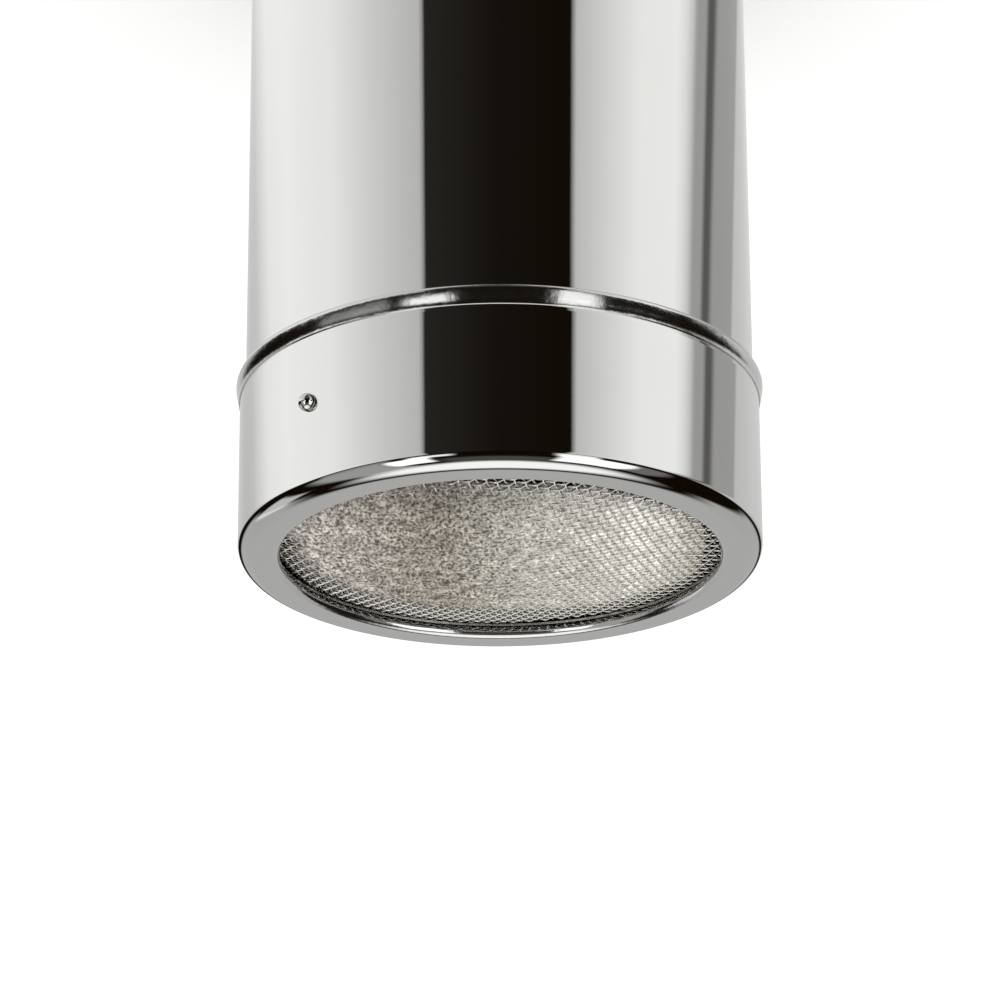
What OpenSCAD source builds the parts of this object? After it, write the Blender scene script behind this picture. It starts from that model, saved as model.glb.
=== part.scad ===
// Shaker for spice, flour or icing sugar: a deep-drawn steel canister, a bayonet lid with a folded
// hem, and a domed sieve of woven wire clamped in a folded rim. Millimetres, +Z up, standing on z = 0.

/* [Canister] */
// Outer diameter of the canister
canister_d = 68.5; // [60:0.5:80]
// Thickness of the sheet that the canister and the lid are drawn from
sheet_t = 0.5; // [0.4:0.05:0.7]
// Outer radius of the bend between base and wall
base_bend_r = 3.2; // [2:0.1:5]
// Radius of each of the two bends that lift the middle of the base
kick_bend_r = 1.2; // [0.8:0.1:2]
// Width of the flat ring that the canister stands on
foot_w = 2.4; // [1.5:0.1:5]

/* [Lid] */
// Height of the lid's flat top above the surface that the shaker stands on
lid_top_z = 95; // [80:1:110]
// Outer diameter of the skirt
skirt_d = 70; // [69.9:0.1:70.4]
// Height from the middle of the hem's fold to the flat top
lid_h = 24.4; // [20:0.2:30]
// Outer radius of the shoulder between skirt and top
shoulder_r = 2.1; // [1.5:0.1:3]
// Diameter of the opening in the top, inside its curl
opening_d = 58.8; // [50:0.2:60]
// Outer radius of the curl round the opening
curl_r = 0.9; // [0.8:0.05:1.2]

/* [Hem of the lid] */
// Radius of the hem's outer face, above the fold at the skirt's lower edge
hem_face_r = 3.4; // [3:0.1:3.8]
// Radius of the groove between the hem's face and its rolled edge
hem_groove_r = 0.15; // [0.1:0.05:0.2]
// Radius of the rolled edge
hem_edge_r = 0.9; // [0.8:0.05:1]
// Radius of the hollow where the rolled edge meets the skirt
hem_hollow_r = 0.45; // [0.4:0.05:0.5]

/* [Bayonet] */
// Height of the pins above the middle of the hem's fold
pin_above_hem = 11.5; // [9:0.5:14]
// Polar angle of the front pin, the back one being opposite
pin_angle = -45; // [-90:5:0]
// Diameter of each pin's shank
pin_d = 1.92; // [1.6:0.02:2.2]
// Diameter of each pin's ball head
pin_head_d = 2.4; // [2.2:0.1:3]
// How far the ball's centre stands out of the skirt
pin_head_out = 0.75; // [0.7:0.05:1]
// How far each pin reaches past the inside of the canister's wall
pin_reach = 0.55; // [0.4:0.05:1]
// Width of the bayonet slots
slot_w = 2.4; // [2.2:0.1:3]
// Angle that the lid turns through from the slot's mouth to its locked end
lock_turn = 20; // [15:1:30]

/* [Sieve] */
// Spacing of the wires, 22 to the inch
mesh_pitch = 1.155; // [1:0.005:2]
// Diameter of the wire
wire_d = 0.3; // [0.2:0.02:0.4]
// Angle of the first set of wires
mesh_angle = 17; // [0:1:45]
// Rise of the dome above the edge of the lid's opening
dome_rise = 3; // [2:0.1:4]
// Thickness of the folded rim's strip
rim_t = 0.3; // [0.2:0.05:0.4]
// Width of the folded rim, measured along a radius
rim_w = 4.3; // [3:0.1:5]

/* [Hidden] */

$fn = 96;
// Segments in the longer bends, and in the small ones
bend_steps = 10;
small_steps = 6;
// Free play between parts that seat on each other
seat_gap = 0.1;
// Gap between the two sets of wires, and between the wires and the rim's fold
wire_gap = 0.05;
fold_gap = 0.02;
// How much smaller the pin's hole is than its shank, in radius
press = 0.01;
// Room beyond a surface for the tools that cut it
past = 1;

canister_r = canister_d / 2;
skirt_r = skirt_d / 2;
opening_r = opening_d / 2;
hem_z = lid_top_z - lid_h;
pin_z = hem_z + pin_above_hem;

// Slopes at which the curves of the hem meet, as the angle of the surface's normal above level
fold_to_face = 12;
face_to_groove = 25;
groove_to_edge = -35;
edge_to_hollow = 48;

// The mesh lies on a sphere that rises by dome_rise inside the opening.
// The lid's curl presses on the rim's upper leaf, and the rim's fold stands on the canister's mouth.
curl_center = [opening_r + curl_r, lid_top_z - curl_r];
fold_half = wire_d + wire_gap / 2 + fold_gap;
rim_half = fold_half + rim_t;
dome_r = (pow(opening_r, 2) + pow(dome_rise, 2)) / (2 * dome_rise);
curl_to_dome_center = dome_r + rim_half + seat_gap + curl_r;
dome_center_z = curl_center[1] - sqrt(pow(curl_to_dome_center, 2) - pow(curl_center[0], 2));
rim_outer_r = canister_r - 0.05;
rim_inner_r = rim_outer_r - rim_w;
fold_r = rim_outer_r - rim_half;
fold_angle = asin(fold_r / dome_r);
fold_center = [fold_r, dome_center_z + dome_r * cos(fold_angle)];
wire_end_r = fold_r - 0.35;
mouth_z = fold_center[1] - rim_half - seat_gap;

// Unit vector at an angle
function dir(angle) = [cos(angle), sin(angle)];

// Points along an arc, from angle a0 to angle a1
function arc(c, r, a0, a1, steps) = [for (i = [0 : steps]) c + r * dir(a0 + (a1 - a0) * i / steps)];

// Points along the dome at a distance off its middle surface, from radius r0 to radius r1
function dome_arc(off, r0, r1, steps) =
    arc([0, dome_center_z], dome_r + off, 90 - asin(r0 / dome_r), 90 - asin(r1 / dome_r), steps);

// A sheet-metal cup: raised middle, standing ring, bend and straight wall, cut off square at the mouth
module canister_profile() {
    kick_turn = 60;
    wall_in = canister_r - sheet_t;
    bend_c = [canister_r - base_bend_r, base_bend_r];
    foot_c = [bend_c[0] - foot_w, kick_bend_r + sheet_t / 2];
    kick_c = foot_c - 2 * kick_bend_r * [sin(kick_turn), cos(kick_turn)];
    tight = kick_bend_r - sheet_t / 2;
    wide = kick_bend_r + sheet_t / 2;
    polygon(concat(
        [[0, kick_c[1] + tight]],
        arc(kick_c, tight, 90, 90 - kick_turn, small_steps),
        arc(foot_c, wide, 270 - kick_turn, 270, small_steps),
        arc(bend_c, base_bend_r, 270, 360, bend_steps),
        [[canister_r, mouth_z], [wall_in, mouth_z]],
        arc(bend_c, base_bend_r - sheet_t, 360, 270, bend_steps),
        arc(foot_c, tight, 270, 270 - kick_turn, small_steps),
        arc(kick_c, wide, 90 - kick_turn, 90, small_steps),
        [[0, kick_c[1] + wide]]
    ));
}

// One L-shaped slot, punched straight through the wall towards +X: in from the mouth, then sideways
module bayonet_slot() {
    leg_y = canister_r * sin(lock_turn / 2);
    translate([canister_r - 2 * past - pin_reach, 0, pin_z])
    rotate([90, 0, 90])
    linear_extrude(height = 4 * past) {
        translate([leg_y, 0]) circle(d = slot_w);
        translate([-leg_y, 0]) circle(d = slot_w);
        translate([-leg_y, -slot_w / 2]) square([2 * leg_y, slot_w]);
        translate([leg_y - slot_w / 2, 0]) square([slot_w, mouth_z + past - pin_z]);
    }
}

module canister_shell() {
    color("gainsboro")
    difference() {
        rotate_extrude() canister_profile();
        for (half_turn = [0, 180])
            rotate([0, 0, pin_angle + half_turn - lock_turn / 2]) bayonet_slot();
    }
}

// The hem's outline from the skirt down to the inside of its fold, as a chain of tangent arcs.
// The fold is as wide as it must be to reach from the skirt's inner wall to the hem's face.
function hem_outline(skirt_in) =
    let (face_start_to_hollow = (hem_face_r + hem_groove_r) * dir(face_to_groove)
             - hem_face_r * dir(fold_to_face)
             - (hem_groove_r + hem_edge_r) * dir(groove_to_edge)
             + (hem_edge_r + hem_hollow_r) * dir(edge_to_hollow),
         face_start_r = skirt_r + hem_hollow_r - face_start_to_hollow[0],
         hem_fold_r = (face_start_r - skirt_in) / (1 + cos(fold_to_face)),
         hem_fold_c = [skirt_in + hem_fold_r, hem_z],
         face_c = hem_fold_c - (hem_face_r - hem_fold_r) * dir(fold_to_face),
         groove_c = face_c + (hem_face_r + hem_groove_r) * dir(face_to_groove),
         edge_c = groove_c - (hem_groove_r + hem_edge_r) * dir(groove_to_edge),
         hollow_c = edge_c + (hem_edge_r + hem_hollow_r) * dir(edge_to_hollow))
    concat(
        arc(hollow_c, hem_hollow_r, 180, 180 + edge_to_hollow, small_steps),
        arc(edge_c, hem_edge_r, edge_to_hollow, groove_to_edge, bend_steps),
        arc(groove_c, hem_groove_r, 180 + groove_to_edge, 180 + face_to_groove, small_steps),
        arc(face_c, hem_face_r, face_to_groove, fold_to_face, small_steps),
        arc(hem_fold_c, hem_fold_r, fold_to_face, -180, bend_steps)
    );

// The lid's sheet: hem, skirt, shoulder, flat top and the curl round the opening
module lid_profile() {
    skirt_in = skirt_r - sheet_t;
    shoulder_c = [skirt_r - shoulder_r, lid_top_z - shoulder_r];
    polygon(concat(
        arc(shoulder_c, shoulder_r - sheet_t, 0, 90, bend_steps),
        arc(curl_center, curl_r - sheet_t, 90, 270, bend_steps),
        arc(curl_center, curl_r, 270, 90, 2 * bend_steps),
        arc(shoulder_c, shoulder_r, 90, 0, bend_steps),
        hem_outline(skirt_in)
    ));
}

// Puts a shape that lies along +X at a pin's height and angle
module at_pin(angle) {
    rotate([0, 0, angle]) translate([0, 0, pin_z]) children();
}

module lid_shell() {
    color("gainsboro")
    difference() {
        rotate_extrude() lid_profile();
        for (half_turn = [0, 180])
            at_pin(pin_angle + half_turn)
                translate([skirt_r - sheet_t - past, 0, 0])
                rotate([0, 90, 0])
                cylinder(r = pin_d / 2 - press, h = sheet_t + 2 * past);
    }
}

// A pin riveted into the skirt: ball head outside, shank through both walls, chamfered tip inside
module lock_pin(angle) {
    tip = 0.2;
    inner_x = canister_r - sheet_t - pin_reach;
    head_x = skirt_r + pin_head_out;
    at_pin(angle)
    rotate([0, 90, 0]) {
        translate([0, 0, inner_x]) cylinder(r1 = pin_d / 2 - tip, r2 = pin_d / 2, h = tip);
        translate([0, 0, inner_x + tip]) cylinder(d = pin_d, h = head_x - inner_x - tip);
        translate([0, 0, head_x]) sphere(d = pin_head_d);
    }
}

module lock_pin_front() {
    color("silver") lock_pin(pin_angle);
}

module lock_pin_back() {
    color("silver") lock_pin(pin_angle + 180);
}

// One wire, along Y at x = offset: the slice of a sphere about the dome's centre
module dome_wire(offset, sphere_r) {
    slice_r = sqrt(pow(sphere_r, 2) - pow(offset, 2));
    half_turn = asin(sqrt(pow(wire_end_r, 2) - pow(offset, 2)) / slice_r);
    translate([offset, 0, dome_center_z])
    rotate([90, 0, 90])
    rotate_extrude(angle = 2 * half_turn, start = 90 - half_turn, $fn = 240)
    translate([slice_r, 0])
    circle(d = wire_d, $fn = 16);
}

// All the wires of one direction, as many as the opening inside the rim takes
module wire_set(sphere_r) {
    count = floor(rim_inner_r / mesh_pitch);
    for (i = [-count : count]) dome_wire(i * mesh_pitch, sphere_r);
}

module mesh_warp_wires() {
    color("lightgray")
    rotate([0, 0, mesh_angle]) wire_set(dome_r + (wire_d + wire_gap) / 2);
}

module mesh_weft_wires() {
    color("darkgray")
    rotate([0, 0, mesh_angle + 90]) wire_set(dome_r - (wire_d + wire_gap) / 2);
}

// A strip folded over the edge of the mesh, dished with the dome
module rim_profile() {
    polygon(concat(
        dome_arc(rim_half, rim_inner_r, fold_r, small_steps),
        arc(fold_center, rim_half, 90 - fold_angle, -90 - fold_angle, bend_steps),
        dome_arc(-rim_half, fold_r, rim_inner_r, small_steps),
        dome_arc(-fold_half, rim_inner_r, fold_r, small_steps),
        arc(fold_center, fold_half, -90 - fold_angle, 90 - fold_angle, bend_steps),
        dome_arc(fold_half, fold_r, rim_inner_r, small_steps)
    ));
}

module sieve_rim() {
    color("silver")
    rotate_extrude() rim_profile();
}

canister_shell();
lid_shell();
lock_pin_front();
lock_pin_back();
mesh_warp_wires();
mesh_weft_wires();
sieve_rim();
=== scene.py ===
# %% [markdown]
# # A steel mesh shaker for spice or sugar
# The shaker is two drawn cups of thin stainless sheet, one pushed over the other and held by two
# small pins, with a domed sieve of woven wire between them. Nearly all of its look is in how
# polished steel mirrors the room, so this lesson spends its effort on three things: the studio that
# the steel sees, the finish of the steel, and the sieve, whose wires really pass over and under.

import math

import bmesh
import bpy
from mathutils import Euler, Matrix, Vector, noise


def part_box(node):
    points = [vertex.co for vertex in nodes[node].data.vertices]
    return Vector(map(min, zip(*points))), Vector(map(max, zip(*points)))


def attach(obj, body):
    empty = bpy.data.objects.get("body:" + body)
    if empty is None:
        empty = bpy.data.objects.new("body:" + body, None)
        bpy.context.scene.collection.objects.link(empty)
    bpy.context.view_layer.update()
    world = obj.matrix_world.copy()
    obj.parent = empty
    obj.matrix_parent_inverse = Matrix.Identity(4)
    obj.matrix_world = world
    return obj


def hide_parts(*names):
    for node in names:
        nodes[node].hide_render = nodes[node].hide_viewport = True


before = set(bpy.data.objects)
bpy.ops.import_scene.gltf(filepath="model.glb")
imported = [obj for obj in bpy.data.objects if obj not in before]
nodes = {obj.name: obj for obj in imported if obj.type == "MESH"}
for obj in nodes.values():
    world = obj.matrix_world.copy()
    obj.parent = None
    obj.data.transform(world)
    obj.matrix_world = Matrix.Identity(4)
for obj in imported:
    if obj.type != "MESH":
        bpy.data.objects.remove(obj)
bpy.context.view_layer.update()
print("rigid parts:", ", ".join(sorted(nodes)))

# %% [markdown]
# Lengths are in metres, and `MM` turns a maker's millimetres into them. What is made here has to sit
# where the solids sit, so the lid and the sieve take their outer sizes from the boxes of the solids.
# The smaller sizes are a maker's millimetres, each written where it is first used.

# %% Measure the lid
MM = 0.001
lid_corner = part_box("lid_shell")[1]
LID_REACH, LID_TOP = lid_corner.x, lid_corner.z
print(f"the lid reaches {LID_REACH / MM:.2f} mm out, and its flat top is {LID_TOP / MM:.1f} mm up")

# %% [markdown]
# ## The camera
# The shaker is seen from a little above, through a long lens, and upside down, as when somebody
# holds it over a plate. The object stays standing here: it is the camera that is rolled half a turn.

# %% Set up the camera
CAMERA_ELEVATION = math.radians(21.43)
CAMERA_DISTANCE = 628.6 * MM
CAMERA_ROLL = math.radians(179.73)
AIM_BELOW_LID_TOP = 8.94 * MM
SENSOR_WIDTH = 36.0
LENS = 168.97
CLIP_START, CLIP_END = 0.01, 50.0

camera_data = bpy.data.cameras.new("camera")
camera_data.sensor_width = SENSOR_WIDTH
camera_data.lens = LENS
camera_data.clip_start = CLIP_START
camera_data.clip_end = CLIP_END
camera = bpy.data.objects.new("camera", camera_data)
aim = Vector((0, 0, LID_TOP - AIM_BELOW_LID_TOP))
back = Vector((0, -math.cos(CAMERA_ELEVATION), math.sin(CAMERA_ELEVATION)))
tilt = Euler((math.pi / 2 - CAMERA_ELEVATION, 0, 0)).to_matrix().to_4x4()
roll = Matrix.Rotation(CAMERA_ROLL, 4, "Z")
camera.matrix_world = Matrix.Translation(aim + back * CAMERA_DISTANCE) @ tilt @ roll
bpy.context.scene.collection.objects.link(camera)
bpy.context.scene.camera = camera
bpy.context.scene.view_settings.view_transform = "Standard"
print("camera at", [round(c, 3) for c in camera.matrix_world.translation])

# %% [markdown]
# ## Helpers for colours and nodes
# Colours are written as the hex values that a colour picker gives, and one function turns them into
# the linear values that the shader wants. A finish is a tree of nodes. `feed` gives a node its
# inputs, and `add_node` adds any kind of node with its settings and feeds it.

# %% Turn a hex colour to linear
def linear(hex_colour):
    """An sRGB hex colour as linear red, green, blue and alpha."""
    channels = [int(hex_colour[i:i + 2], 16) / 255 for i in (1, 3, 5)]
    low = [c / 12.92 for c in channels]
    high = [((c + 0.055) / 1.055) ** 2.4 for c in channels]
    return [h if c > 0.04045 else l for c, l, h in zip(channels, low, high)] + [1.0]


print("white is", linear("#ffffff"))

# %% [markdown]
# An input is given by its name or number. What it gets is a value, the output of another node, or
# just that node, which stands for its first output.

# %% Add and feed nodes
MATH = "ShaderNodeMath"
VECTOR_MATH = "ShaderNodeVectorMath"
RANGE = "ShaderNodeMapRange"
NOISE = "ShaderNodeTexNoise"
RAMP = "ShaderNodeValToRGB"
BUMP = "ShaderNodeBump"


def feed(node, inputs):
    """Sets or links a node's inputs, from a dictionary or from a row in the node's own order."""
    for key, value in (inputs.items() if isinstance(inputs, dict) else enumerate(inputs)):
        if isinstance(value, bpy.types.Node):
            value = value.outputs[0]
        if isinstance(value, bpy.types.NodeSocket):
            node.id_data.links.new(value, node.inputs[key])
        else:
            node.inputs[key].default_value = value


def add_node(tree, kind, inputs=(), **settings):
    """A new node with its settings and its inputs."""
    node = tree.nodes.new(kind)
    for key, value in settings.items():
        setattr(node, key, value)
    feed(node, inputs)
    return node


def set_stops(ramp, stops):
    """Gives a colour ramp its stops, from a list of (position, linear colour)."""
    elements = ramp.color_ramp.elements
    while len(elements) > 1:
        elements.remove(elements[-1])
    for i, (position, colour) in enumerate(stops):
        stop = elements[0] if i == 0 else elements.new(position)
        stop.position = position
        stop.color = colour


print("ready to build finishes")

# %% [markdown]
# ## The studio
# Polished steel shows the room and little else. This room is written as a sky, placed by azimuth (0
# towards the camera, positive towards +X) and elevation, both in degrees. The shaker is seen from
# above, so its upright sides mirror what lies some 25 degrees below the horizon: a ring of room walls.
# The first step is to find the two angles for any direction.

# %% Find the azimuth and the elevation
world = bpy.data.worlds.new("studio")
bpy.context.scene.world = world
world.use_nodes = True
sky = world.node_tree
sky.nodes.clear()

TO_DEGREES = 180 / math.pi
direction = add_node(sky, "ShaderNodeTexCoord").outputs["Generated"]
x, y, z = add_node(sky, "ShaderNodeSeparateXYZ", {"Vector": direction}).outputs
to_camera = add_node(sky, MATH, (y, -1.0), operation="MULTIPLY")
turn = add_node(sky, MATH, (x, to_camera), operation="ARCTAN2")
azimuth = add_node(sky, MATH, (turn, TO_DEGREES), operation="MULTIPLY")
rise = add_node(sky, MATH, {0: z}, operation="ARCSINE")
elevation = add_node(sky, MATH, (rise, TO_DEGREES), operation="MULTIPLY")
# The same azimuth, but without its jump from 180 to -180 behind the shaker
round_the_back = add_node(sky, MATH, (azimuth, 270.0, -90.0), operation="WRAP")
print("the sky knows its azimuth and elevation")

# %% [markdown]
# The ring of walls is a colour ramp round the compass. Its tones are brightnesses, some of them above
# 1, and it has a dark doorway towards the camera. The walls stand near, so the edges between them fan
# out further down.

# %% Paint the ring of walls
# Each wall is a row of (azimuth, brightness)
RIGHT_FAR_WALL = [(-180, 0.68), (-150, 0.8), (-128.5, 0.78)]
RIGHT_SCREEN = [(-126.5, 0.5), (-109, 0.5)]
GAP_IN_SCREEN = [(-106, 0.15), (-102.5, 0.15)]
SCREEN_BY_GAP = [(-100, 0.51), (-94.7, 0.51)]
RIGHT_WALL = [(-92, 0.88), (-88, 1.18), (-83, 1.37), (-64, 1.34), (-32.7, 0.8)]
DARK_DOORWAY = [(-31.9, 0.002), (0, 0.005), (32.8, 0.024)]
LEFT_WALL = [(34.2, 0.755), (56, 0.985), (79, 1.31), (108, 1.38), (124, 1.25), (141, 0.79), (152, 0.7)]
WALLS = (RIGHT_FAR_WALL + RIGHT_SCREEN + GAP_IN_SCREEN + SCREEN_BY_GAP + RIGHT_WALL
         + DARK_DOORWAY + LEFT_WALL)
# The edges don't fan at this elevation and at this azimuth. Elsewhere they shift by this share of
# the angle from it for each degree down, and by a little more with the square of that angle.
FAN_ELEVATION = -22.6
FAN_AZIMUTH = 8.0
FAN_RATE = 0.012
FAN_GROWTH = 7.5e-7


def round_the_compass(tones):
    """Stops of a colour ramp that runs once round the compass."""
    return [(angle / 360 + 0.5, (tone, tone, tone, 1)) for angle, tone in tones]


aside = add_node(sky, MATH, (azimuth, FAN_AZIMUTH), operation="SUBTRACT")
squared = add_node(sky, MATH, (aside, aside), operation="MULTIPLY")
fan = add_node(sky, MATH, (squared, FAN_GROWTH, FAN_RATE), operation="MULTIPLY_ADD")
lower = add_node(sky, MATH, (FAN_ELEVATION, elevation), operation="SUBTRACT")
leaning = add_node(sky, MATH, (aside, fan), operation="MULTIPLY")
shift = add_node(sky, MATH, (leaning, lower), operation="MULTIPLY")
straightened = add_node(sky, MATH, (azimuth, shift), operation="SUBTRACT")
compass = add_node(sky, MATH, (straightened, 1 / 360, 0.5), operation="MULTIPLY_ADD")
walls = add_node(sky, RAMP, {"Fac": compass})
set_stops(walls, round_the_compass(WALLS))
print("the ring of walls has", len(WALLS), "tones")

# %% [markdown]
# The walls end at a top and a foot. Above them the room is dark between its soft boxes, and below
# them lies its floor, pale but for a strip from front to back. The lid's shoulder and hem lean, so
# they mirror what lies past these two edges, and the dark line on each begins where the walls end.

# %% Lay the room's floor under the walls
ROOM_FLOOR = [
    (-168, 0.08), (-150, 0.6), (-98, 0.7), (-80, 1.2), (-42, 0.75), (-34, 0.6), (-29, 0.09),
    (29, 0.09), (35, 0.6), (70, 0.95), (110, 1.1), (150, 0.7), (168, 0.08),
]
WALL_TOP, WALL_TOP_EDGE = -11.5, 2.0
WALL_FOOT, WALL_FOOT_EDGE = -30.0, 1.2
# The left wall is this much lower past the second azimuth than before the first
LEFT_WALL_DROP = 4.0
LEFT_WALL_DROPS = (80, 115)

passed = add_node(sky, RANGE, (azimuth, *LEFT_WALL_DROPS), interpolation_type="SMOOTHSTEP")
lowered = add_node(sky, MATH, (passed, LEFT_WALL_DROP, elevation), operation="MULTIPLY_ADD")
above = add_node(sky, RANGE, (lowered, WALL_TOP - WALL_TOP_EDGE, WALL_TOP + WALL_TOP_EDGE),
                 interpolation_type="SMOOTHSTEP")
below = add_node(sky, MATH, (1.0, above), operation="SUBTRACT")
over_foot = add_node(sky, RANGE, (elevation, WALL_FOOT - WALL_FOOT_EDGE, WALL_FOOT + WALL_FOOT_EDGE),
                     interpolation_type="SMOOTHSTEP")
on_wall = add_node(sky, MATH, (below, over_foot), operation="MULTIPLY")
under_wall = add_node(sky, MATH, (below, on_wall), operation="SUBTRACT")
floor_compass = add_node(sky, MATH, (azimuth, 1 / 360, 0.5), operation="MULTIPLY_ADD")
room_floor = add_node(sky, RAMP, {"Fac": floor_compass})
set_stops(room_floor, round_the_compass(ROOM_FLOOR))
wall_light = add_node(sky, MATH, (walls, on_wall), operation="MULTIPLY")
floor_light = add_node(sky, MATH, (room_floor, under_wall), operation="MULTIPLY")
total = add_node(sky, MATH, (wall_light, floor_light), operation="ADD")
print("the room's floor has", len(ROOM_FLOOR), "tones")

# %% [markdown]
# Soft boxes stand above the walls. Each is a patch of the sky with soft edges, and gives the shoulder,
# the hem and the pins their bright spots. The windows' feet and a low side come down towards the
# walls' top, where the hem's face looks. Overhead the room is bright.

# %% Hang the soft boxes
# Name, azimuth from and to, elevation from and to, width of the edges, brightness
SOFT_BOXES = [
    ("left window", 33, 47, 8, 39, 5, 1.9),
    ("left window's foot", 23, 36, 0, 6, 6, 1.5),
    ("left window's side", 55, 80, 8, 52, 12, 0.5),
    ("left window's low side", 50, 78, -4, 0, 5, 0.3),
    ("right window", -57, -29, 8, 42, 6, 1.9),
    ("right window's foot", -39, -27, -5, 6, 6, 1.5),
    ("right window's side", -72, -62, 5, 38, 8, 0.22),
    ("left end", 108, 126, 12, 32, 7, 0.80),
    ("lintel", -20, 20, 32, 46, 14, 0.09),
    ("back wall", 132, 228, -30, 36, 12, 0.60),
]
# The back wall doesn't shine below this elevation, with an edge of its own
BACK_WALL_FOOT, BACK_WALL_EDGE = -1.0, 4.0
OVERHEAD = (50, 70)
ZENITH_BRIGHTNESS = 1.55

for name, az_from, az_to, el_from, el_to, edge, light in SOFT_BOXES:
    around = round_the_back if az_to > 180 else azimuth
    sides = [(around, az_from - edge, az_from), (around, az_to + edge, az_to),
             (elevation, el_from - edge, el_from), (elevation, el_to + edge, el_to)]
    if name == "back wall":
        sides.append((elevation, BACK_WALL_FOOT - BACK_WALL_EDGE, BACK_WALL_FOOT + BACK_WALL_EDGE))
    for side in sides:
        fade = add_node(sky, RANGE, side, interpolation_type="SMOOTHSTEP")
        light = add_node(sky, MATH, (light, fade), operation="MULTIPLY")
    total = add_node(sky, MATH, (total, light), operation="ADD")

overhead = add_node(sky, RANGE, (elevation, *OVERHEAD), interpolation_type="SMOOTHSTEP")
zenith = add_node(sky, MATH, (overhead, ZENITH_BRIGHTNESS), operation="MULTIPLY")
total = add_node(sky, MATH, (total, zenith), operation="ADD")
print("hung", len(SOFT_BOXES), "soft boxes")

# %% [markdown]
# Only mirrored rays see this room. The camera sees a plain pale backdrop, and matt surfaces get plain
# soft light.

# %% Show the room to mirrored rays only
BACKDROP = 1.0
SOFT_LIGHT = 1.2
# What the darkest corners still give back, a little warm
DIM_CORNERS = (0.007, 0.004, 0.001)

room = add_node(sky, VECTOR_MATH, (total, DIM_CORNERS), operation="ADD")
ray = add_node(sky, "ShaderNodeLightPath").outputs
plain = add_node(sky, "ShaderNodeMix", {"Factor": ray["Is Camera Ray"], "A": SOFT_LIGHT, "B": BACKDROP})
# A mix node of colours keeps its factor in input 0, its two colours in 6 and 7, its result in output 2
seen = add_node(sky, "ShaderNodeMix", {0: ray["Is Glossy Ray"], 6: plain, 7: room}, data_type="RGBA")
background = add_node(sky, "ShaderNodeBackground", {"Color": seen.outputs[2]})
add_node(sky, "ShaderNodeOutputWorld", {"Surface": background})
print("the studio has", len(sky.nodes), "nodes")

# %% [markdown]
# ## Objects and plain finishes
# Every new shape is built as a bmesh and becomes an object in the same way. The object stays at the
# origin and its place is in its mesh, as with the solids. A matt finish needs only a colour and a
# roughness to start from.

# %% Make an object and a plain finish
def shader_of(material):
    return material.node_tree.nodes["Principled BSDF"]


def plain_material(name, hex_colour, roughness):
    """A material with one colour and one roughness, for a start."""
    material = bpy.data.materials.new(name)
    material.use_nodes = True
    feed(shader_of(material), {"Base Color": linear(hex_colour), "Roughness": roughness})
    return material


def make_object(name, shape, material):
    """Turns a finished bmesh into an object with a material, and says what it made."""
    open_edges = sum(not e.is_manifold for e in shape.edges)
    mesh = bpy.data.meshes.new(name)
    shape.to_mesh(mesh)
    shape.free()
    mesh.materials.append(material)
    piece = bpy.data.objects.new(name, mesh)
    bpy.context.scene.collection.objects.link(piece)
    print(f"{name}: {len(mesh.polygons)} faces, {open_edges} open edges")
    return piece


# %% [markdown]
# ## The floor
# A plain pale floor, far wider than the shaker. Mirrored rays pass through it, so that the steel
# goes on seeing the studio's walls where the floor would be.

# %% Lay the floor
FLOOR_SIZE = 6.0

floor_shape = bmesh.new()
bmesh.ops.create_grid(floor_shape, x_segments=1, y_segments=1, size=FLOOR_SIZE / 2)
floor = make_object("floor", floor_shape, plain_material("pale studio paper", "#fbfbfa", 0.9))
floor.visible_glossy = False
print("floor", FLOOR_SIZE, "m wide")

# %% [markdown]
# ## Polished stainless steel
# Stainless sheet is drawn into a cup and then buffed. Buffing leaves a mirror that is very slightly
# milky, waves of a few millimetres where the sheet was drawn, and hair lines too fine to see one by
# one. The colour is a warm grey of about 56 percent reflectance. Roughness carries the buffing
# marks, and a weak bump carries the waves and the hair lines.

# %% Make the steel finishes
# The tone runs between the colour and one that is this much duller, at these two noise values
DULLER = 0.985
TONE_STOPS = (0.3, 0.7)
BUFFING_MARK = 3 * MM


def steel(name, hex_colour, roughness, spread, wave_mm, wave_height_mm, hair_mm, hair_height_mm):
    """Polished steel: a metal whose tone, gloss and surface vary with noises of several sizes."""
    material = plain_material(name, hex_colour, roughness)
    tree = material.node_tree
    place = add_node(tree, "ShaderNodeTexCoord").outputs["Object"]
    tones = add_node(tree, NOISE, {"Vector": place, "Scale": 1 / (wave_mm * 2 * MM), "Detail": 3.0})
    tone = add_node(tree, RAMP, {"Fac": tones})
    colour = linear(hex_colour)
    duller = [c * DULLER for c in colour[:3]] + [1]
    set_stops(tone, list(zip(TONE_STOPS, (duller, colour))))
    buffing = add_node(tree, NOISE, {"Vector": place, "Scale": 1 / BUFFING_MARK, "Detail": 4.0})
    gloss = add_node(tree, RANGE, {
        "Value": buffing, "To Min": roughness - spread, "To Max": roughness + spread})
    waves = add_node(tree, NOISE, {"Vector": place, "Scale": 1 / (wave_mm * MM), "Detail": 1.0})
    low_bump = add_node(tree, BUMP, {"Height": waves, "Distance": wave_height_mm * MM})
    hairs = add_node(tree, NOISE, {"Vector": place, "Scale": 1 / (hair_mm * MM), "Detail": 2.0})
    fine_bump = add_node(tree, BUMP, {
        "Height": hairs, "Distance": hair_height_mm * MM, "Normal": low_bump})
    feed(shader_of(material), {
        "Metallic": 1.0, "Base Color": tone, "Roughness": gloss, "Normal": fine_bump})
    return material


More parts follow.
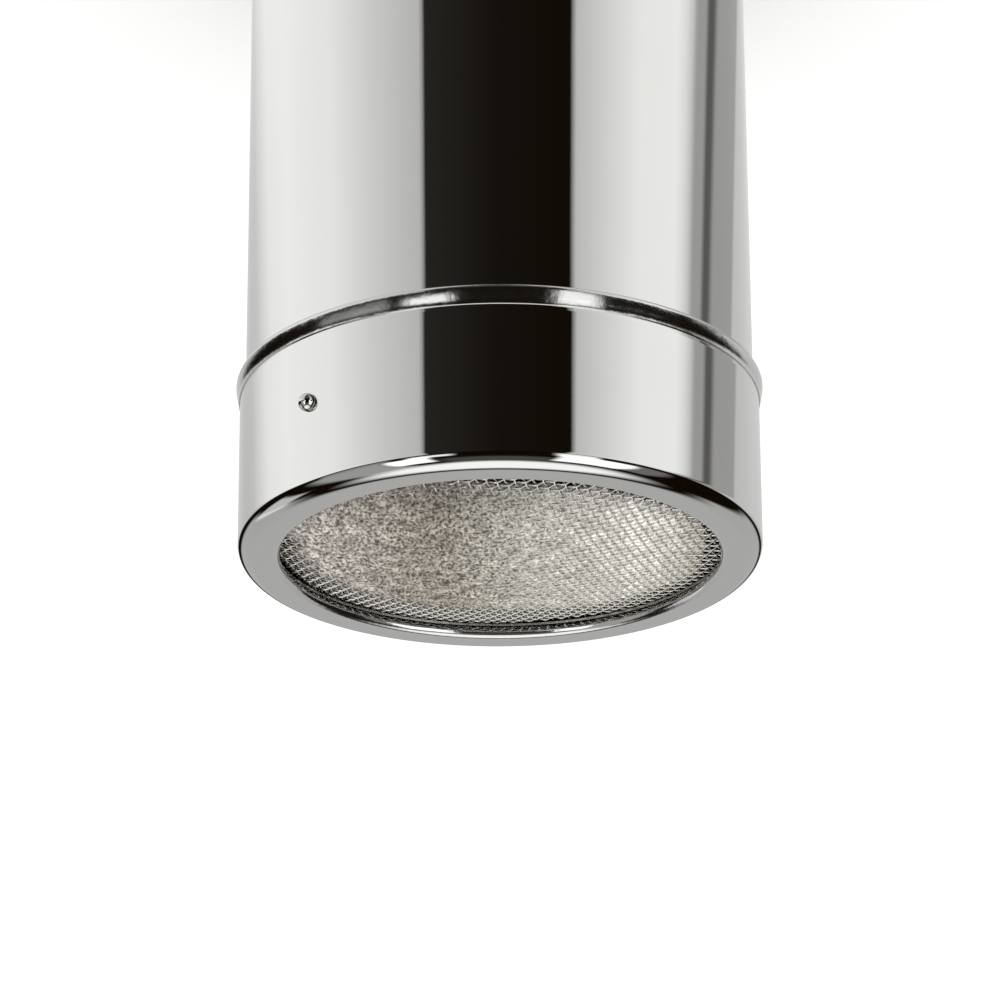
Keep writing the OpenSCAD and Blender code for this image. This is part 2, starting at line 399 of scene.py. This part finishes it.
BUFFED = dict(roughness=0.03, spread=0.01, wave_mm=9.0, wave_height_mm=0.004, hair_mm=0.35,
              hair_height_mm=0.0003)
body_steel = steel("buffed drawn stainless steel", "#c9c9c7", **BUFFED)
lid_steel = steel("buffed steel with satin edges", "#c9c9c7", **BUFFED)
pin_steel = steel("bright turned stainless steel", "#c6c5c1", roughness=0.04, spread=0.01,
                  wave_mm=2.0, wave_height_mm=0.001, hair_mm=0.2, hair_height_mm=0.0002)
rim_steel = steel("rolled stainless strip", "#b9b7b2", roughness=0.22, spread=0.05,
                  wave_mm=4.0, wave_height_mm=0.004, hair_mm=0.3, hair_height_mm=0.002)
wire_steel = steel("drawn stainless wire", "#dedbd4", roughness=0.13, spread=0.05,
                   wave_mm=1.0, wave_height_mm=0.001, hair_mm=0.1, hair_height_mm=0.001)
print("made five steels")

# %% [markdown]
# ## Where the buffing wheel doesn't reach
# The wheel doesn't get into folds or inside a cup. Painting a mask for these places would need a map,
# but all of them are round and lie on the axis, so the distance from the axis and the height tell
# them apart.

# %% Find a place on a round piece, and roughen it
def measure_round_axis(tree):
    """A point's place, its distance from the axis and its height, for a pattern on a round piece."""
    place = add_node(tree, "ShaderNodeTexCoord").outputs["Object"]
    flat = add_node(tree, VECTOR_MATH, (place, (1, 1, 0)), operation="MULTIPLY")
    radius = add_node(tree, VECTOR_MATH, {0: flat}, operation="LENGTH").outputs["Value"]
    height = add_node(tree, "ShaderNodeSeparateXYZ", {"Vector": place}).outputs["Z"]
    return place, radius, height


def roughen(material, mask, amount):
    """Adds an amount to a material's roughness where a mask is 1."""
    roughness = shader_of(material).inputs["Roughness"]
    polished = roughness.links[0].from_socket
    rougher = add_node(material.node_tree, MATH, (mask, amount, polished), operation="MULTIPLY_ADD")
    feed(shader_of(material), {"Roughness": rougher})


print("ready to leave places unbuffed")

# %% [markdown]
# The lid's hem and the curl round its opening stay satin, with faint dents of a millimetre or two,
# where the wheel only brushes them.

# %% Leave the folds satin
HEM_TOP = 73.0 * MM
HEM_SATIN = (HEM_TOP + 0.3 * MM, HEM_TOP - 0.2 * MM)
CURL_SATIN = (30.8 * MM, 30.2 * MM)
SATIN = 0.08
DENT_SIZE, DENT_DEPTH = 1.6 * MM, 0.03 * MM


def leave_folds_satin(material):
    """Raises the roughness, and adds dents, in the hem and on the curl."""
    tree = material.node_tree
    place, radius, height = measure_round_axis(tree)
    in_hem = add_node(tree, RANGE, (height, *HEM_SATIN))
    in_curl = add_node(tree, RANGE, (radius, *CURL_SATIN))
    folds = add_node(tree, MATH, (in_hem, in_curl), operation="MAXIMUM")
    roughen(material, folds, SATIN)
    dents = add_node(tree, NOISE, {"Vector": place, "Scale": 1 / DENT_SIZE, "Detail": 3.0})
    depth = add_node(tree, MATH, (dents, folds), operation="MULTIPLY")
    smooth = shader_of(material).inputs["Normal"].links[0].from_socket
    dented = add_node(tree, BUMP, {"Height": depth, "Distance": DENT_DEPTH, "Normal": smooth})
    feed(shader_of(material), {"Normal": dented})


leave_folds_satin(lid_steel)
print(f"satin below {HEM_SATIN[0] / MM:.1f} mm and within {CURL_SATIN[0] / MM:.1f} mm of the axis")

# %% [markdown]
# The insides of the cups keep the grey of the drawn sheet. As mirrors they would look pure black,
# because the inside of a cup sees little but the cup.

# %% Leave the insides drawn
DRAWN = 0.3
# The radius halfway through each wall, and the height where the drawn finish starts or ends
CANISTER_WALL, CANISTER_FROM = 34.0 * MM, 3.4 * MM
SKIRT_WALL, LID_TO = 34.75 * MM, LID_TOP - 2.2 * MM


def leave_inside_drawn(material, wall_middle, low, high):
    """Raises the roughness nearer the axis than a wall's middle, between two heights."""
    tree = material.node_tree
    place, radius, height = measure_round_axis(tree)
    inside = 1.0
    for value, limit, test in ((radius, wall_middle, "LESS_THAN"), (height, low, "GREATER_THAN"),
                               (height, high, "LESS_THAN")):
        part = add_node(tree, MATH, (value, limit), operation=test)
        inside = add_node(tree, MATH, (inside, part), operation="MULTIPLY")
    roughen(material, inside, DRAWN)


leave_inside_drawn(body_steel, CANISTER_WALL, CANISTER_FROM, LID_TOP)
leave_inside_drawn(lid_steel, SKIRT_WALL, HEM_TOP, LID_TO)
print("the insides are", DRAWN, "rougher")

# %% [markdown]
# The canister and the sieve's rim keep their solid shapes, because these are right as they are. They
# only need their steel.

# %% Finish the canister and the sieve's rim
for node, material in (("canister_shell", body_steel), ("sieve_rim", rim_steel)):
    nodes[node].data.materials.clear()
    nodes[node].data.materials.append(material)
    print(node, "is", material.name)

# %% [markdown]
# ## The lid
# The lid is drawn from a disc. Its edge is folded back outside into a hem, which is pressed against
# the skirt and ends in a thin ledge, and its middle is curled under round the opening. All of it is
# round, so one outline of tangent arcs is turned on the axis, as on a lathe. The alternative, a
# cylinder with bevels, leaves flat bands that a mirror finish shows at once.

# %% Draw an arc
def toward(degrees):
    return Vector((math.cos(math.radians(degrees)), math.sin(math.radians(degrees))))


def arc(centre, radius, start, end, steps):
    """Points of an arc in the plane of (outwards, upwards)."""
    return [centre + radius * toward(start + (end - start) * i / steps) for i in range(steps + 1)]


print("an arc of 3 steps has", len(arc(Vector((0, 0)), 1, 0, 90, steps=3)), "points")

# %% [markdown]
# Up from the hem's fold, four arcs meet without a kink: the face, which bulges and leans in, a
# hollow, the rounded ledge, and a small corner that runs out on the skirt. Each arc's centre follows
# from the last one's, along the line through the point where they meet.

# %% Draw the hem
SHEET = 0.5 * MM
SKIRT_RADIUS = 35.0 * MM
HEM_FOOT = 70.6 * MM
HEM_CLEARANCE = 0.002 * MM
# How many degrees each arc leans in at its end, and its radius
FOLD_LEAN = 8
FACE_LEAN, FACE_RADIUS = 14, 12.7 * MM
HOLLOW_LEAN, HOLLOW_RADIUS = 6, 5.1 * MM
LEDGE_LEAN, LEDGE_RADIUS = 75, 0.11 * MM


def hem_arcs():
    """The hem's outline, from the skirt down and round to the inside."""
    fold_radius = (LID_REACH - HEM_CLEARANCE - SKIRT_RADIUS + SHEET) / 2
    fold = Vector((SKIRT_RADIUS - SHEET + fold_radius, HEM_FOOT))
    face = fold - (FACE_RADIUS - fold_radius) * toward(FOLD_LEAN)
    hollow = face + (FACE_RADIUS + HOLLOW_RADIUS) * toward(FACE_LEAN)
    ledge = hollow - (HOLLOW_RADIUS + LEDGE_RADIUS) * toward(HOLLOW_LEAN)
    ledge_end = ledge + LEDGE_RADIUS * toward(LEDGE_LEAN)
    corner_radius = (ledge_end.x - SKIRT_RADIUS) / (1 - math.cos(math.radians(LEDGE_LEAN)))
    corner = ledge_end + corner_radius * toward(LEDGE_LEAN)
    print(f"ledge {(ledge_end.x - SKIRT_RADIUS) / MM:.3f} mm out, {ledge_end.y / MM:.2f} mm up")
    return (arc(corner, corner_radius, 180, 180 + LEDGE_LEAN, steps=12)
            + arc(ledge, LEDGE_RADIUS, LEDGE_LEAN, HOLLOW_LEAN, steps=12)
            + arc(hollow, HOLLOW_RADIUS, 180 + HOLLOW_LEAN, 180 + FACE_LEAN, steps=10)
            + arc(face, FACE_RADIUS, FACE_LEAN, FOLD_LEAN, steps=10)
            + arc(fold, fold_radius, FOLD_LEAN, -180, steps=24))


hem = hem_arcs()
print("the hem's outline has", len(hem), "points")

# %% [markdown]
# A polished face shows every kink in its shading. So the straight stretches get an extra point close
# to each end, and the bend beside them doesn't tilt the whole stretch. Where two arcs meet, their
# shared point is kept once.

# %% Turn the lid
SHOULDER_RADIUS = 2.1 * MM
CURL_BEND = 0.9 * MM
OPENING_RADIUS = 29.4 * MM
SAME_POINT = 0.0005 * MM
LONG_STRETCH = 2 * SHEET
SUPPORT = 0.1 * MM
LID_SIDES = 192

shoulder = Vector((SKIRT_RADIUS - SHOULDER_RADIUS, LID_TOP - SHOULDER_RADIUS))
curl = Vector((OPENING_RADIUS + CURL_BEND, LID_TOP - CURL_BEND))
outline = (arc(shoulder, SHOULDER_RADIUS - SHEET, 0, 90, steps=12)
           + arc(curl, CURL_BEND - SHEET, 90, 270, steps=12)
           + arc(curl, CURL_BEND, 270, 90, steps=28)
           + arc(shoulder, SHOULDER_RADIUS, 90, 0, steps=20) + hem)
loop = []
for here, after in zip(outline, outline[1:] + outline[:1]):
    stretch = (after - here).length
    if stretch < SAME_POINT:
        continue
    loop.append(here)
    if stretch > LONG_STRETCH:
        loop += [here.lerp(after, SUPPORT / stretch), here.lerp(after, 1 - SUPPORT / stretch)]

lid_shape = bmesh.new()
points = [lid_shape.verts.new((out, 0, up)) for out, up in loop]
edges = [lid_shape.edges.new(pair) for pair in zip(points, points[1:] + points[:1])]
bmesh.ops.spin(lid_shape, geom=points + edges, cent=(0, 0, 0), axis=(0, 0, 1), angle=2 * math.pi,
               steps=LID_SIDES, use_merge=True)
bmesh.ops.recalc_face_normals(lid_shape, faces=lid_shape.faces)
for f in lid_shape.faces:
    f.smooth = True
turned_lid = make_object("turned_lid", lid_shape, lid_steel)
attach(turned_lid, "lid")
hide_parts("lid_shell")

# %% [markdown]
# ## The lock pins
# Each pin is a shank through the skirt, riveted over to a round head that sits against the steel.
# The skirt mirrors the head, so half a ball looks whole, and a head that stands off looks like two.
# A ball pushed into a cylinder would leave faces inside, so one outline is turned on its axis, as on
# a lathe.

# %% Make the pins
PIN_HEIGHT = 82.1 * MM
PIN_INNER_END = 33.2 * MM
PIN_SHANK_RADIUS = 0.96 * MM
PIN_TIP = 0.2 * MM
PIN_HEAD_CENTRE = 35.15 * MM
PIN_HEAD_RADIUS = 1.2 * MM
PIN_HEAD_SEAT = 34.97 * MM
HEAD_STEPS = 20
PIN_SIDES = 48
FRONT_PIN, BACK_PIN = math.radians(-45), math.radians(135)
TINY = 0.001 * MM


def rivet(name, node, angle):
    """One pin turned along +X, then put at its angle round the lid."""
    shape = bmesh.new()
    seat_angle = math.acos((PIN_HEAD_SEAT - PIN_HEAD_CENTRE) / PIN_HEAD_RADIUS)
    profile = [(PIN_INNER_END, 0), (PIN_INNER_END, PIN_SHANK_RADIUS - PIN_TIP),
               (PIN_INNER_END + PIN_TIP, PIN_SHANK_RADIUS), (PIN_HEAD_SEAT, PIN_SHANK_RADIUS)]
    for i in range(HEAD_STEPS + 1):
        turn = seat_angle * (1 - i / HEAD_STEPS)
        along = PIN_HEAD_CENTRE + PIN_HEAD_RADIUS * math.cos(turn)
        profile.append((along, PIN_HEAD_RADIUS * math.sin(turn)))
    points = [shape.verts.new((along, out, 0)) for along, out in profile]
    edges = [shape.edges.new(pair) for pair in zip(points, points[1:])]
    bmesh.ops.spin(shape, geom=points + edges, cent=(0, 0, 0), axis=(1, 0, 0), angle=2 * math.pi,
                   steps=PIN_SIDES, use_merge=True)
    bmesh.ops.remove_doubles(shape, verts=shape.verts, dist=TINY)
    bmesh.ops.recalc_face_normals(shape, faces=shape.faces)
    for f in shape.faces:
        f.smooth = f.calc_center_median().x > PIN_HEAD_SEAT + TINY
    round_lid = Matrix.Rotation(angle, 3, "Z")
    bmesh.ops.rotate(shape, verts=shape.verts, cent=(0, 0, 0), matrix=round_lid)
    bmesh.ops.translate(shape, verts=shape.verts, vec=(0, 0, PIN_HEIGHT))
    piece = make_object(name, shape, pin_steel)
    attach(piece, "lid")
    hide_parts(node)


rivet("rivet_front", "lock_pin_front", FRONT_PIN)
rivet("rivet_back", "lock_pin_back", BACK_PIN)

# %% [markdown]
# ## The woven sieve
# The sieve is a plain weave, pressed into a shallow dome. In a plain weave each wire goes over one
# crossing wire and under the next, so its height is a wave whose length is two spacings. The quick
# way is a bump texture, but the wires are seen almost edge on, where only real ones hide each other.
# Here one small circle is spun into an arc for each wire, as the wires lie before weaving.

# %% Lay a wire
PITCH = 1.155 * MM
WIRE_RADIUS = 0.15 * MM
DOME_RISE = 3.0 * MM
WIRE_SIDES = 8
RINGS_PER_PITCH = 4
# The two sets of wires lie this far clear of each other before weaving
LAYER_GAP = 0.025 * MM

warp_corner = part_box("mesh_warp_wires")[1]
weft_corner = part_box("mesh_weft_wires")[1]
WIRE_END_RADIUS = max(warp_corner.y, weft_corner.x)
DOME_RADIUS = (OPENING_RADIUS ** 2 + DOME_RISE ** 2) / (2 * DOME_RISE)
DOME_TOP = warp_corner.z - WIRE_RADIUS * 2 - LAYER_GAP
DOME_CENTRE = Vector((0, 0, DOME_TOP - DOME_RADIUS))


def lay_wire(offset):
    """A mesh of one smooth wire, an arc along Y over the dome."""
    shape = bmesh.new()
    slice_radius = math.sqrt(DOME_RADIUS ** 2 - offset ** 2)
    half_turn = math.asin(math.sqrt(WIRE_END_RADIUS ** 2 - offset ** 2) / slice_radius)
    start = DOME_CENTRE + Vector((offset, 0, slice_radius))
    facing = Matrix.Translation(start) @ Matrix.Rotation(math.pi / 2, 4, "X")
    bmesh.ops.create_circle(shape, segments=WIRE_SIDES, radius=WIRE_RADIUS, cap_ends=True, matrix=facing)
    to_first_end = Matrix.Rotation(-half_turn, 3, "X")
    bmesh.ops.rotate(shape, verts=shape.verts, cent=DOME_CENTRE, matrix=to_first_end)
    steps = round(2 * half_turn * DOME_RADIUS / PITCH * RINGS_PER_PITCH)
    bmesh.ops.spin(shape, geom=shape.faces[:], cent=DOME_CENTRE, axis=(1, 0, 0),
                   angle=2 * half_turn, steps=steps)
    mesh = bpy.data.meshes.new("one wire")
    shape.to_mesh(mesh)
    shape.free()
    return mesh


print(f"the dome is {DOME_RISE / MM} mm high on a radius of {DOME_RADIUS / MM:.1f} mm")

# %% [markdown]
# The wires of a set are laid side by side. Then every point is raised or lowered by the weave's wave,
# along the dome's own normal, and the whole set is turned to its direction. The second set is the
# first one turned by a quarter, with its wave the other way up.

# %% Weave the two sets
WEAVE_ANGLE = math.radians(17)
# The outermost wire stays at least this far inside the sieve's rim
RIM_MARGIN = 4.3 * MM
rim_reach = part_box("sieve_rim")[1].x


def weave(name, turn, side):
    """One set of wires, crimped and turned into place."""
    shape = bmesh.new()
    wires = math.floor((rim_reach - RIM_MARGIN) / PITCH)
    for i in range(-wires, wires + 1):
        wire = lay_wire(i * PITCH)
        shape.from_mesh(wire)
        bpy.data.meshes.remove(wire)
    for v in shape.verts:
        wire = round(v.co.x / PITCH)
        normal = (v.co - DOME_CENTRE).normalized()
        wave = math.cos(math.pi * v.co.y / PITCH) * (-1 if wire % 2 else 1)
        v.co += normal * wave * WIRE_RADIUS * side
    bmesh.ops.rotate(shape, verts=shape.verts, cent=(0, 0, 0), matrix=Matrix.Rotation(turn, 3, "Z"))
    bmesh.ops.recalc_face_normals(shape, faces=shape.faces)
    for f in shape.faces:
        f.smooth = len(f.verts) == 4
    print("wove", 2 * wires + 1, "wires")
    return make_object(name, shape, wire_steel)


warp = weave("woven_warp_wires", WEAVE_ANGLE, 1)
weft = weave("woven_weft_wires", WEAVE_ANGLE + math.pi / 2, -1)
for piece, node in ((warp, "mesh_warp_wires"), (weft, "mesh_weft_wires")):
    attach(piece, "sieve")
    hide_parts(node)

# %% [markdown]
# ## Powder held by the sieve
# Held upside down, the shaker presses its powder against the mesh. It fills the holes from below and
# stands up through them in lumps, more to one side than to the other, and leaves a clean margin along
# the rim. A bump texture can't fill a hole, so this is a crust of its own. Its outline is an ellipse,
# ragged along its edge, that reaches further out in two places.

# %% Draw the patch of powder
PATCH_CENTRE = Vector((0, -2.0 * MM, 0))
PATCH_HALF = (27.5 * MM, 22.3 * MM)
# The notches in its edge: which layer of the noise, how deep as a share of the patch, and how wide
NOTCHES = [(0, 0.03, 3 * MM), (9, 0.02, 0.8 * MM)]
# Where the patch reaches out: how far, then for X and for Y the side and where that begins and ends
REACHES = [(0.13, 1, (1 * MM, 8 * MM), -1, (2 * MM, 12 * MM)),
           (0.15, -1, (0, 9 * MM), 1, (2 * MM, 12 * MM))]


def step_up(value, low, high):
    """0 below low, 1 above high, and straight between."""
    return min(1.0, max(0.0, (value - low) / (high - low)))


def patch_reach(p):
    """0 in the middle of the powder and 1 at its ragged edge."""
    q = p - PATCH_CENTRE
    ragged = 0.0
    for layer, depth, width in NOTCHES:
        ragged += depth * noise.noise(Vector((p.x, p.y, layer)) / width)
    drawn_out = sum(far * step_up(x_side * p.x, *x_ends) * step_up(y_side * p.y, *y_ends)
                    for far, x_side, x_ends, y_side, y_ends in REACHES)
    return math.hypot(q.x / PATCH_HALF[0], q.y / PATCH_HALF[1]) + ragged - drawn_out


print(f"reach at the lid's axis {patch_reach(Vector((0, 0, 0))):.2f}, with the powder's edge at 1")

# %% [markdown]
# The powder stands up in lumps and grains, and thins out at its edge. Some heights are a pair: the
# value where the powder lies even, and how much it gains where the powder stands up in lumps.

# %% Work out the powder's height
LUMPY_SIDE = (-12 * MM, 6 * MM)
# Heights in millimetres
LAYER = (-0.05, 0.24)
LUMPS, LUMP_SIZE = (0.06, 0.30), 2.2 * MM
LUMP_ROUGHNESS, LUMP_LACUNARITY, LUMP_OCTAVES = 0.8, 2.0, 3
LUMP_SHIFT = Vector((3, 5, 7))
GRAINS, GRAIN_SIZE = (0.10, 0.16), 0.5 * MM
FINE_GRAIN_SHARE, FINE_GRAIN_SIZE = 0.6, 0.3 * MM
EDGE_THINNING, EDGE_FROM = 0.35, 0.92
# The powder never stands higher than this, with a gain towards the rim between two radii
CEILING, CEILING_ENDS = (0.28, 0.4), (6 * MM, 16 * MM)


def with_gain(pair, share):
    return pair[0] + pair[1] * share


def powder_height(p):
    """Height of the powder over the dome, in millimetres."""
    lumps = noise.fractal(p / LUMP_SIZE + LUMP_SHIFT, LUMP_ROUGHNESS, LUMP_LACUNARITY, LUMP_OCTAVES)
    grains = noise.noise(p / GRAIN_SIZE) + FINE_GRAIN_SHARE * noise.noise(p / FINE_GRAIN_SIZE)
    side = step_up(p.x, *LUMPY_SIDE)
    height = with_gain(LAYER, side) - EDGE_THINNING * step_up(patch_reach(p), EDGE_FROM, 1.0)
    height += with_gain(LUMPS, side) * lumps
    height += with_gain(GRAINS, side) * grains
    return min(height, with_gain(CEILING, step_up(p.length, *CEILING_ENDS)))


print(f"the powder stands {powder_height(Vector((0, 0, 0))):.2f} mm over the dome at the axis")

# %% [markdown]
# The crust is a fine grid laid along the dome at that height. What lies outside the outline is cut
# off, with the loose ends that the cut leaves, and the rest gets a thickness.

# %% Lay the powder crust
CELL = 0.3 * MM
GRID_MARGIN = 1.06
CRUST_THICKNESS = 0.5 * MM

crust_shape = bmesh.new()
grid_half = PATCH_HALF[0] * GRID_MARGIN
cells = round(2 * grid_half / CELL)
bmesh.ops.create_grid(crust_shape, x_segments=cells, y_segments=cells, size=grid_half)
outside = []
for v in crust_shape.verts:
    flat = Vector((v.co.x, v.co.y, 0))
    if patch_reach(flat) > 1:
        outside.append(v)
    up = math.sqrt(DOME_RADIUS ** 2 - flat.length_squared)
    normal = Vector((flat.x, flat.y, up)).normalized()
    v.co = DOME_CENTRE + normal * (DOME_RADIUS + powder_height(flat) * MM)
bmesh.ops.delete(crust_shape, geom=outside, context="VERTS")
loose_ends = [v for v in crust_shape.verts if not v.link_faces]
bmesh.ops.delete(crust_shape, geom=loose_ends, context="VERTS")
bmesh.ops.recalc_face_normals(crust_shape, faces=crust_shape.faces)
if sum(f.normal.z for f in crust_shape.faces) < 0:
    bmesh.ops.reverse_faces(crust_shape, faces=crust_shape.faces)
bmesh.ops.solidify(crust_shape, geom=crust_shape.faces[:], thickness=CRUST_THICKNESS)
for f in crust_shape.faces:
    f.smooth = True
powder = plain_material("caked powder with painted shade and sheen", "#b0a99f", 0.95)
crust = make_object("powder_crust", crust_shape, powder)
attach(crust, "sieve")

# %% [markdown]
# ## The powder's finish
# Powder is matt and scatters light, so it needs no gloss: its look is in the grains. Some are pale
# and some are dark, and they are a few tenths of a millimetre across: partly their own colour and
# partly painted shade in the holes between them. Where it lies even it is nearly white, with a
# painted sheen on top, and where it is caked in lumps it is browner, both partly its own colour and
# partly painted sheen. Patches of a few millimetres are painted darker and lighter, a painted shade
# of lumps and crevices, and the powder is darker towards the front.

# %% Make the powder's colour, with painted shade and sheen
DOME_HALF = 28 * MM
# Colour of the powder across the dome, partly its own and partly painted sheen:
# (place towards +X, colour)
TONES_AND_PAINTED_SHEEN = [(-28 * MM, "#c6c3b8"), (-18 * MM, "#f2f0e9"), (-1 * MM, "#b4b0a5"), (9 * MM, "#958d82"),
          (26 * MM, "#b9b3ab")]
# The grains are pressed a little wider than long
PRESSED = (1, 0.65, 1)
# The grains' speckle is partly their own colour and partly painted shade in the holes between them
GRAIN_AND_SHADE_SIZE, PAINTED_CLUMP_SHADE_SIZE = 0.45 * MM, 2.4 * MM
MEAN_TONE = 0.86
# Ranges, each from two values of its input to two values of its output
GRAIN_AND_SHADE_RANGE = (0.38, 0.64, -1.0, 1.0)
CONTRAST_RANGE = (-12 * MM, 2 * MM, 0.30, 0.62)
# Painted shade of lumps and crevices, in patches a few millimetres across
PAINTED_CLUMP_SHADE_RANGE = (0.35, 0.65, 0.78, 1.22)
FRONT_RANGE = (-25 * MM, -11 * MM, 0.55, 1.0)
# A painted sheen: the even side is painted lighter
EVEN_SIDE_PAINTED_SHEEN_RANGE = (-18 * MM, -4 * MM, 1.22, 1.0)


def powder_tone_with_painted_light(tree, place):
    """The powder's colour at a place, with painted light: a tone across the dome that is partly painted
    sheen, times grains that are partly painted shade, painted clump shade, a darker front and a painted
    sheen on the even side.
    """
    spot = add_node(tree, "ShaderNodeSeparateXYZ", {"Vector": place}).outputs
    along = add_node(tree, RANGE, (spot["X"], -DOME_HALF, DOME_HALF))
    # The tone across the dome is partly the powder's own colour and partly painted sheen
    tone = add_node(tree, RAMP, {"Fac": along})
    set_stops(tone, [((at / DOME_HALF + 1) / 2, linear(colour)) for at, colour in TONES_AND_PAINTED_SHEEN])
    contrast = add_node(tree, RANGE, (spot["X"], *CONTRAST_RANGE))
    pressed = add_node(tree, VECTOR_MATH, (place, PRESSED), operation="MULTIPLY")
    # Grains: partly their own colour, partly painted shade in the holes between them
    grains = add_node(tree, NOISE, {"Vector": pressed, "Scale": 1 / GRAIN_AND_SHADE_SIZE, "Detail": 4.0})
    centred = add_node(tree, RANGE, (grains.outputs["Fac"], *GRAIN_AND_SHADE_RANGE))
    # Patches a few millimetres across, painted darker and lighter: painted shade of lumps and crevices
    painted_clump_shade = add_node(tree, NOISE, {"Vector": place, "Scale": 1 / PAINTED_CLUMP_SHADE_SIZE, "Detail": 2.0})
    factor = add_node(tree, MATH, (centred, contrast, MEAN_TONE), operation="MULTIPLY_ADD")
    # Times painted clump shade, a darker front, and a painted sheen on the even side
    for value, limits in ((painted_clump_shade.outputs["Fac"], PAINTED_CLUMP_SHADE_RANGE), (spot["Y"], FRONT_RANGE),
                          (spot["X"], EVEN_SIDE_PAINTED_SHEEN_RANGE)):
        part = add_node(tree, RANGE, (value, *limits))
        factor = add_node(tree, MATH, (factor, part), operation="MULTIPLY")
    shaded = add_node(tree, VECTOR_MATH, {0: tone, "Scale": factor}, operation="SCALE")
    return shaded.outputs[0], grains.outputs["Fac"]


print("the powder's colour has", len(TONES_AND_PAINTED_SHEEN), "tones across the dome")

# %% [markdown]
# The crust takes this colour as it is, with its painted shade and sheen, and the same grains raise it
# a little, so that the pale ones stand proud of the dark ones.

# %% Finish the crust
POWDER_GLOSS, POWDER_BUMP = 0.2, 0.12 * MM

powder_tree = powder.node_tree
powder_place = add_node(powder_tree, "ShaderNodeTexCoord").outputs["Object"]
powder_colour_and_painted_light, powder_grains = powder_tone_with_painted_light(powder_tree, powder_place)
powder_bump = add_node(powder_tree, BUMP, {"Height": powder_grains, "Distance": POWDER_BUMP})
feed(shader_of(powder), {
    "Specular IOR Level": POWDER_GLOSS, "Base Color": powder_colour_and_painted_light, "Normal": powder_bump})
print("finished", crust.name)

# %% [markdown]
# The same powder dusts the wires, thickly on the lumpy side and hardly on the even one, and leaves
# them clean along the rim. Where it lies, the wires' steel is mixed with the powder's colour, with its
# painted shade and sheen, is less of a metal and is rougher.

# %% Dust the wires
# How thick the dust is, between two places along X, and where it ends, as a share of the patch
DUST_ACROSS = (-8 * MM, 6 * MM, 0.15, 0.9)
DUST_EDGE = (1.08, 1.22)
EDGE_NOISE = 0.3
DUST_ROUGHNESS = 0.6

wire_tree = wire_steel.node_tree
wire_shader = shader_of(wire_steel)
wire_place = add_node(wire_tree, "ShaderNodeTexCoord").outputs["Object"]
dust_colour_and_painted_light, dust_grains = powder_tone_with_painted_light(wire_tree, wire_place)
from_centre = add_node(wire_tree, VECTOR_MATH, (wire_place, PATCH_CENTRE), operation="SUBTRACT")
shrink = Vector((1 / PATCH_HALF[0], 1 / PATCH_HALF[1], 0))
shrunk = add_node(wire_tree, VECTOR_MATH, (from_centre, shrink), operation="MULTIPLY")
out_from = add_node(wire_tree, VECTOR_MATH, {0: shrunk}, operation="LENGTH").outputs["Value"]
worn = add_node(wire_tree, MATH, (dust_grains, EDGE_NOISE, out_from), operation="MULTIPLY_ADD")
wire_x = add_node(wire_tree, "ShaderNodeSeparateXYZ", {"Vector": wire_place}).outputs["X"]
thickest = add_node(wire_tree, RANGE, (wire_x, *DUST_ACROSS))
dust = add_node(wire_tree, RANGE, (worn, *DUST_EDGE, thickest, 0.0))
bare = add_node(wire_tree, MATH, (1.0, dust), operation="SUBTRACT")
clean_colour = wire_shader.inputs["Base Color"].links[0].from_socket
# The dust's colour carries the powder's painted shade and sheen
dusted = add_node(wire_tree, "ShaderNodeMix", {0: dust, 6: clean_colour, 7: dust_colour_and_painted_light},
                  data_type="RGBA")
feed(wire_shader, {"Base Color": dusted.outputs[2], "Metallic": bare})
roughen(wire_steel, dust, DUST_ROUGHNESS)
print("dusted", warp.name, "and", weft.name)
